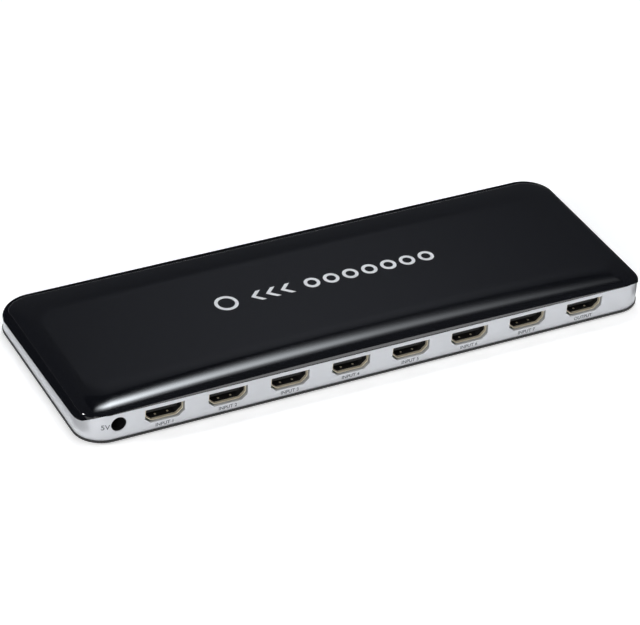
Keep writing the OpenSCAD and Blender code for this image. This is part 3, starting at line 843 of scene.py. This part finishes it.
class SWITCH_OT_sockets(bpy.types.Operator):
    """Model the folded shells of the sockets with their dots, add dark linings that paint the shade inside
    them, and finish what sits in them
    """
    bl_idname = "switchbox.sockets"
    bl_label = "Sockets"

    def execute(self, context):
        size = setting("switch_socket")
        low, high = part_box(PORTS[0])
        shell = folded_sheet("shell", PORTS[0], -size.sheet, size.bend_r, size.sheet, low.y, high.y)
        shell = joined([shell] + spring_dots())
        # Dark linings set in the shells paint the shade deep inside the sockets
        inner = size.sheet + size.lining_gap + size.lining
        lining = folded_sheet(
            "lining", PORTS[0], -inner, size.bend_r - size.lining, size.lining,
            low.y + size.lining_depth, high.y - size.base_len)
        for number, node in enumerate(PORTS, 1):
            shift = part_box(node)[0].x - low.x
            place(shifted_copy(shell, f"socket_shell_{number}", shift), "socket_plating", node)
            place(shifted_copy(lining, f"socket_lining_{number}", shift), "socket_resin")
            paint(node.replace("shell", "insulator"), "socket_resin")
            paint(node.replace("shell", "contacts"), "contact_gold")
        bpy.data.objects.remove(shell)
        bpy.data.objects.remove(lining)
        return {"FINISHED"}


def shifted_copy(model, name, shift):
    """A copy of a model with its own mesh, moved along X."""
    piece = model.copy()
    piece.data = model.data.copy()
    bpy.context.scene.collection.objects.link(piece)
    piece.location.x = shift
    focus(piece)
    return named(name)


class SWITCH_OT_base(bpy.types.Operator):
    """Model the bottom cover, its feet and its screws with softened edges"""
    bl_idname = "switchbox.base"
    bl_label = "Bottom cover"

    def execute(self, context):
        edge = setting("switch_edge")
        soften("bottom_cover", "base_plate", "black_abs", edge.base)
        soften("rubber_feet", "foot_pads", "foot_rubber", edge.foot, 3)
        soften("case_screws", "base_screws", "screw_steel", edge.screw)
        return {"FINISHED"}


class SWITCH_OT_inlet(bpy.types.Operator):
    """Model the power inlet behind its hole, and a thin dark tube in the hole's wall that paints the shade
    round its edge
    """
    bl_idname = "switchbox.inlet"
    bl_label = "Power inlet"

    def execute(self, context):
        case, edge, size = setting("switch_case"), setting("switch_edge"), setting("switch_socket")
        soften("inlet_housing", "inlet_body", "black_abs", edge.housing)
        soften("inlet_pin", "inlet_post", "plated_steel", edge.pin, 3)
        paint("inlet_spring", "plated_steel")
        middle = middle_of("inlet_housing")
        # A thin dark tube in the wall of the power hole paints the shade round its edge
        front = FRAME_LOW.y + size.shade_sleeve_depth
        back = FRAME_LOW.y + case.wall
        outer = case.inlet_hole - 2 * size.lining_gap
        sleeve = rod("inlet_sleeve", (middle.x, front, middle.z), (middle.x, back, middle.z), outer)
        bore = rod(
            "bore", (middle.x, front - case.wall, middle.z), (middle.x, back + case.wall, middle.z),
            outer - 2 * size.sleeve)
        combine(sleeve, bore, "DIFFERENCE")
        round_edges(sleeve, edge.sheet_share * size.sleeve, angle=SHEET_ANGLE)
        place(sleeve, "socket_resin")
        return {"FINISHED"}


class SWITCH_OT_controls(bpy.types.Operator):
    """Model the button, lights and receiver window of the front"""
    bl_idname = "switchbox.controls"
    bl_label = "Front controls"

    def execute(self, context):
        edge = setting("switch_edge").control
        soften("select_button", "button_cap", "gloss_black_abs", edge, 3, "select_button")
        soften("light_pipes", "light_tips", "clear_resin", edge, 3)
        soften("receiver_window", "receiver_lens", "filter_resin", edge, 3)
        paint("tact_plunger", "plunger_resin")
        for node in ("tact_switch", "remote_receiver"):
            paint(node, "chip_epoxy")
        paint("indicator_leds", "clear_resin")
        return {"FINISHED"}


class SWITCH_OT_board(bpy.types.Operator):
    """Finish the circuit board and the parts on it"""
    bl_idname = "switchbox.board"
    bl_label = "Circuit board"

    def execute(self, context):
        finishes = {
            "circuit_board": "board_laminate", "board_screws": "screw_steel", "switch_chips": "chip_epoxy",
            "control_chip": "chip_epoxy", "crystal": "plated_steel", "regulator": "chip_epoxy",
            "power_inductor": "ferrite", "electrolytic_cans": "can_aluminium",
            "bypass_capacitors": "chip_ceramic", "surge_arrays": "chip_epoxy",
        }
        for node, name in finishes.items():
            paint(node, name)
        return {"FINISHED"}


def lettering(name, words, size, place_at, depth):
    """A word as a thin plate that stands upright and faces the rear."""
    clear()
    bpy.ops.object.text_add(location=place_at, rotation=(math.pi / 2, 0, 0))
    text = bpy.context.object
    text.data.body = words
    text.data.size = size
    text.data.align_x = "CENTER"
    text.data.align_y = "CENTER"
    text.data.extrude = depth
    text.data.offset = setting("switch_print").weight
    bpy.ops.object.convert(target="MESH")
    return named(name)


class SWITCH_OT_labels(bpy.types.Operator):
    """Print the names of the sockets on the frame"""
    bl_idname = "switchbox.labels"
    bl_label = "Socket labels"

    def execute(self, context):
        size = setting("switch_print")
        face = FRAME_LOW.y
        for number, node in enumerate(PORTS, 1):
            words = "OUTPUT" if number == len(PORTS) else f"INPUT {number}"
            spot = (middle_of(node).x, face, size.port_text_z)
            piece = lettering(f"label_{number}", words, size.port_text, spot, size.ink)
            place(piece, "label_ink", slot=False)
        middle = middle_of("inlet_housing")
        spot = (middle.x - size.inlet_text_x, face, middle.z - size.inlet_text_drop)
        piece = lettering("label_power", "5V", size.inlet_text, spot, size.ink)
        wrap_round_corner(piece)
        place(piece, "label_ink", slot=False)
        return {"FINISHED"}


def wrap_round_corner(piece):
    """Lays a flat print on the frame's rounded corner; a moving of points that no operator gives."""
    case = setting("switch_case")
    r = case.corner_r - (FRAME_LOW.x - CASE_LOW.x)
    bend = FRAME_LOW.x + r
    for vert in piece.data.vertices:
        past = min(max(bend - vert.co.x, 0), r)
        vert.co.y += r - math.sqrt(r * r - past * past)


def ring(name, x, y, diameter, line):
    """A flat ring on the ground plane."""
    clear()
    bpy.ops.mesh.primitive_circle_add(
        vertices=ROUND_SIDES, radius=diameter / 2, fill_type="NGON", location=(x, y, 0))
    piece = named(name)
    edit_all(piece)
    bpy.ops.mesh.inset(thickness=line)
    bpy.ops.mesh.delete(type="FACE")
    close_edit()
    return piece


def chevron(name, x, y, size, line):
    """A flat arrow head that points to -X, made of two slanted bars."""
    clear()
    bpy.ops.mesh.primitive_plane_add(size=1, location=(x, y + size / 2, 0))
    bpy.context.object.scale = (line * math.sqrt(2), size, 1)
    piece = named(name)
    edit(piece, "VERT", lambda vert: vert.co.y > y + size / 2)
    bpy.ops.transform.translate(value=(size, 0, 0))
    close_edit()
    edit(piece, "EDGE", lambda edge: max(vert.co.y for vert in edge.verts) < y + MERGE)
    extrude(size, -size, 0)
    close_edit()
    return piece


# Chevrons of the top mark
ARROWS = 3


class SWITCH_OT_mark(bpy.types.Operator):
    """Print a plain mark of seven rings that lead to one on the top"""
    bl_idname = "switchbox.mark"
    bl_label = "Top mark"

    def execute(self, context):
        size = setting("switch_print")
        inputs = len(PORTS) - 1
        reach = (inputs + 2) * size.mark_pitch + ARROWS * size.mark_arrow + size.mark_end
        x = size.mark_x + reach / 2 - size.mark_pitch / 2
        shapes = []
        for _ in range(inputs):
            shapes.append(ring("mark_ring", x, 0, size.mark_ring, size.mark_line))
            x -= size.mark_pitch
        for _ in range(ARROWS):
            x -= size.mark_arrow
            shapes.append(chevron("mark_arrow", x, 0, size.mark_ring / 2, size.mark_line))
            x -= size.mark_arrow / 2
        x -= size.mark_end
        shapes.append(ring("mark_end", x, 0, size.mark_end, size.mark_line))
        piece = joined(shapes)
        edit_all(piece)
        bpy.ops.mesh.normals_make_consistent(inside=False)
        extrude(0, 0, 2 * size.ink)
        close_outwards()
        for vert in piece.data.vertices:
            vert.co.z += COVER_HIGH.z - 2 * size.ink - crown_fall(vert.co.x)
        piece.name = "top_mark"
        piece.data.name = "top_mark"
        place(piece, "mark_ink", slot=False)
        return {"FINISHED"}


class SWITCH_OT_stage(bpy.types.Operator):
    """Set up the floor, the studio light and the camera"""
    bl_idname = "switchbox.stage"
    bl_label = "Studio"

    def execute(self, context):
        make_floor()
        make_world()
        make_lamps()
        make_streak_panel()
        make_flags()
        make_camera()
        context.scene.view_settings.view_transform = "Standard"
        return {"FINISHED"}


FLOOR_SIZE = 8
# Light that the floor adds where it is seen, so that it shows white
FLOOR_GLOW = 0.46
# The streak's panel: its least and most X and Y, and its height; its levels along X and along Y
PANEL = (-0.25, 0.82, 0.27, 0.78, 1.0)
PANEL_LENGTHWISE = (
    (-0.24, 1), (0.245, 1), (0.28, 0.65), (0.35, 0.4), (0.43, 0.27), (0.5, 0.14), (0.6, 0.07), (0.7, 0.025),
    (0.81, 0))
PANEL_CROSSWISE = (
    (0.28, 0), (0.35, 0.22), (0.4, 0.8), (0.44, 1), (0.5, 0.72), (0.56, 0.36), (0.63, 0.14), (0.77, 0))
PANEL_LIGHT = 26.0
PANEL_TINT = (0.9, 0.95, 1, 1)
# Slant of the streak's start, the distance over which it fades in, and the Y where it starts at X = 0
TIP_SLANT = 1.6
TIP_FADE = (-0.12, 0.2)
TIP_MIDDLE = 0.42
# Direction of the sky's soft glow, and its levels by the cosine of the angle from there
GLOW_TOWARDS = Vector((0.38, 0.68, 0.627))
SKY_COLOUR = (0.86, 0.9, 1, 1)
SKY_FADE = (
    (0, 0.045), (0.6, 0.05), (0.9, 0.08), (0.96, 0.09), (0.985, 0.09), (0.991, 0.13), (0.9975, 0.27),
    (1, 0.33))
# Softboxes: place, point that they face, width, depth and power in watts
LAMPS = {
    "corner_box": ((-1.35, 0.3, 0.36), (0, 0, 0), 0.28, 0.28, 9),
    "lip_box": ((0.45, -0.4, 1.0), (0.45, -0.4, 0), 0.6, 0.8, 5),
    "band_fill": ((-0.9, -1.1, 0.6), (0, 0, 0), 1.0, 0.8, 10),
}
# Dark cards: their gap to the case, their reach, their height above the floor, and the rays that pass them by
FLAG_GAP = 0.003
FLAG_REACH = 0.7
FLAG_LIFT = 0.0005
FLAG_COLOUR = "#1a1a1c"
FLAG_HIDDEN = ("camera", "diffuse", "shadow", "transmission")
SENSOR_WIDTH = 36
NEAR_CLIP = 0.01


def card(name, low, high, z):
    """A level rectangle of the studio between two corners of its plan."""
    clear()
    bpy.ops.mesh.primitive_plane_add(size=1, location=((low[0] + high[0]) / 2, (low[1] + high[1]) / 2, z))
    bpy.context.object.scale = (high[0] - low[0], high[1] - low[1], 1)
    return named(name)


def make_floor():
    """A wide pale floor that shows white to the camera and keeps the shadow."""
    clear()
    bpy.ops.mesh.primitive_plane_add(size=FLOOR_SIZE, location=(0, 0, CASE_LOW.z))
    floor = bpy.context.object
    floor.name = "studio_floor"
    material, tree = blank("studio_floor")
    colour = (*setting("switch_finish").floor, 1)
    matt = add(tree, "ShaderNodeBsdfDiffuse", {"Color": colour})
    path = add(tree, "ShaderNodeLightPath")
    seen = path.outputs["Is Camera Ray"]
    for ray in ("Is Glossy Ray", "Is Transmission Ray"):
        seen = add(tree, "ShaderNodeMath", {0: seen, 1: path.outputs[ray]}, operation="MAXIMUM").outputs[0]
    glow = add(tree, "ShaderNodeMath", {0: seen, 1: FLOOR_GLOW}, operation="MULTIPLY")
    light = add(tree, "ShaderNodeEmission", {"Color": colour, "Strength": glow.outputs[0]})
    both = add(tree, "ShaderNodeAddShader", {0: matt.outputs[0], 1: light.outputs[0]})
    add(tree, "ShaderNodeOutputMaterial", {"Surface": both.outputs[0]})
    floor.data.materials.append(material)
    floor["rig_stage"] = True


def make_world():
    """A dim studio with one soft glow, which the roof mirrors to the camera."""
    world = bpy.data.worlds.new("studio")
    bpy.context.scene.world = world
    world.use_nodes = True
    tree = world.node_tree
    tree.nodes.clear()
    where = add(tree, "ShaderNodeTexCoord").outputs["Generated"]
    near = add(tree, "ShaderNodeVectorMath", {0: where, 1: GLOW_TOWARDS}, operation="DOT_PRODUCT")
    level = faded(tree, near.outputs["Value"], 0, 1, SKY_FADE)
    sky = add(tree, "ShaderNodeBackground", {"Color": SKY_COLOUR, "Strength": level})
    add(tree, "ShaderNodeOutputWorld", {"Surface": sky.outputs[0]})


def faded(tree, value, low, high, stops):
    """A level that follows a value from stop to stop."""
    share = add(tree, "ShaderNodeMapRange", {"Value": value, "From Min": low, "From Max": high})
    fade = add(tree, "ShaderNodeValToRGB", {0: share.outputs[0]})
    points = fade.color_ramp.elements
    while len(points) < len(stops):
        points.new(0.5)
    for point, (spot, level) in zip(points, stops):
        point.position = (spot - low) / (high - low)
        point.color = (level, level, level, 1)
    return fade.outputs[0]


def make_lamps():
    """Softboxes for the near corner, for the lip along the sockets and for the frame."""
    for name, (place_at, aim, width, depth, power) in LAMPS.items():
        data = bpy.data.lights.new(name, "AREA")
        data.shape = "RECTANGLE"
        data.size = width
        data.size_y = depth
        data.energy = power
        box = bpy.data.objects.new(name, data)
        box.location = place_at
        box.rotation_euler = (Vector(place_at) - Vector(aim)).to_track_quat("Z", "Y").to_euler()
        bpy.context.scene.collection.objects.link(box)


def make_streak_panel():
    """A glowing panel beyond the case, whose mirror image is the streak along the rear shoulder.

    It is brightest near one end and fades along its length, as a lamp behind a sloping diffuser does."""
    x0, x1, y0, y1, z = PANEL
    panel = card("streak_panel", (x0, y0), (x1, y1), z)
    material, tree = blank("streak_panel")
    where = add(tree, "ShaderNodeTexCoord").outputs["Object"]
    axes = add(tree, "ShaderNodeSeparateXYZ", {0: where})
    level = add(tree, "ShaderNodeMath", {
        0: faded(tree, axes.outputs["X"], x0, x1, PANEL_LENGTHWISE),
        1: faded(tree, axes.outputs["Y"], y0, y1, PANEL_CROSSWISE)}, operation="MULTIPLY")
    across = add(tree, "ShaderNodeMath", {0: axes.outputs["Y"], 1: TIP_MIDDLE}, operation="SUBTRACT")
    behind = add(tree, "ShaderNodeMath", {0: across.outputs[0], 1: TIP_SLANT}, operation="MULTIPLY")
    begun = add(tree, "ShaderNodeMath", {0: axes.outputs["X"], 1: behind.outputs[0]}, operation="SUBTRACT")
    tip = add(tree, "ShaderNodeMapRange", {
        "Value": begun.outputs[0], "From Min": TIP_FADE[0], "From Max": TIP_FADE[1], "To Max": PANEL_LIGHT},
        interpolation_type="SMOOTHSTEP")
    power = add(tree, "ShaderNodeMath", {0: level.outputs[0], 1: tip.outputs[0]}, operation="MULTIPLY")
    light = add(tree, "ShaderNodeEmission", {"Color": PANEL_TINT, "Strength": power.outputs[0]})
    add(tree, "ShaderNodeOutputMaterial", {"Surface": light.outputs[0]})
    panel.data.materials.append(material)
    panel.visible_camera = False
    panel.visible_shadow = False
    panel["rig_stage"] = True


def make_flags():
    """Dark cards on the floor at the ends and beyond the case, which keep its gloss edges dark.

    Only reflections see them, so the floor stays pale and keeps its shadow."""
    left, right, far = CASE_LOW.x - FLAG_GAP, CASE_HIGH.x + FLAG_GAP, CASE_HIGH.y + FLAG_GAP
    flags = (
        ("left_flag", (left - FLAG_REACH, CASE_LOW.y), (left, far + FLAG_REACH)),
        ("right_flag", (right, CASE_LOW.y), (right + FLAG_REACH, far + FLAG_REACH)),
        ("far_flag", (left, far), (right, far + FLAG_REACH)))
    material, tree = blank("dark_card")
    matt = add(tree, "ShaderNodeBsdfDiffuse", {"Color": (*linear(FLAG_COLOUR), 1)})
    add(tree, "ShaderNodeOutputMaterial", {"Surface": matt.outputs[0]})
    for name, low, high in flags:
        flag = card(name, low, high, CASE_LOW.z + FLAG_LIFT)
        flag.data.materials.append(material)
        for ray in FLAG_HIDDEN:
            setattr(flag, "visible_" + ray, False)
        flag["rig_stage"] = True


def make_camera():
    """The camera at the photograph's viewing angle."""
    stage = setting("switch_stage")
    az, el, roll = stage.azimuth, stage.elevation, stage.roll
    back = Vector((math.sin(az) * math.cos(el), -math.cos(az) * math.cos(el), math.sin(el)))
    right = Vector((math.cos(az), math.sin(az), 0))
    up = back.cross(right)
    turned = right * math.cos(roll) + up * math.sin(roll)
    upright = up * math.cos(roll) - right * math.sin(roll)
    data = bpy.data.cameras.new("photo_camera")
    data.sensor_fit = "HORIZONTAL"
    data.sensor_width = SENSOR_WIDTH
    data.lens = stage.lens
    data.clip_start = NEAR_CLIP
    camera = bpy.data.objects.new("photo_camera", data)
    facing = Matrix((turned, upright, back)).transposed().to_4x4()
    camera.matrix_world = Matrix.Translation(Vector(stage.target) + back * stage.distance) @ facing
    bpy.context.scene.collection.objects.link(camera)
    bpy.context.scene.camera = camera


STEPS = (
    SWITCH_OT_cover, SWITCH_OT_frame, SWITCH_OT_sockets, SWITCH_OT_base, SWITCH_OT_inlet,
    SWITCH_OT_controls, SWITCH_OT_board, SWITCH_OT_labels, SWITCH_OT_mark, SWITCH_OT_stage,
)


class SWITCH_PT_panel(bpy.types.Panel):
    """Sizes, colours and steps of the switch box"""
    bl_idname = "SWITCH_PT_panel"
    bl_label = "Switch box"
    bl_space_type = "VIEW_3D"
    bl_region_type = "UI"
    bl_category = "Switch box"

    def draw(self, context):
        for group, kind in GROUPS.items():
            box = self.layout.box()
            for name in kind.__annotations__:
                box.prop(getattr(context.scene, group), name)
        for step in STEPS:
            self.layout.operator(step.bl_idname)


def register():
    """Makes the settings, steps and panel known to Blender."""
    for kind in (*GROUPS.values(), *STEPS, SWITCH_PT_panel):
        bpy.utils.register_class(kind)
    for group, kind in GROUPS.items():
        setattr(bpy.types.Scene, group, bpy.props.PointerProperty(type=kind))


def unregister():
    """Takes them away again."""
    for group in GROUPS:
        delattr(bpy.types.Scene, group)
    for kind in reversed((*GROUPS.values(), *STEPS, SWITCH_PT_panel)):
        bpy.utils.unregister_class(kind)


def main():
    """Makes every piece in order."""
    register()
    for step in STEPS:
        group, action = step.bl_idname.split(".")
        getattr(getattr(bpy.ops, group), action)()


if __name__ == "__main__":
    main()
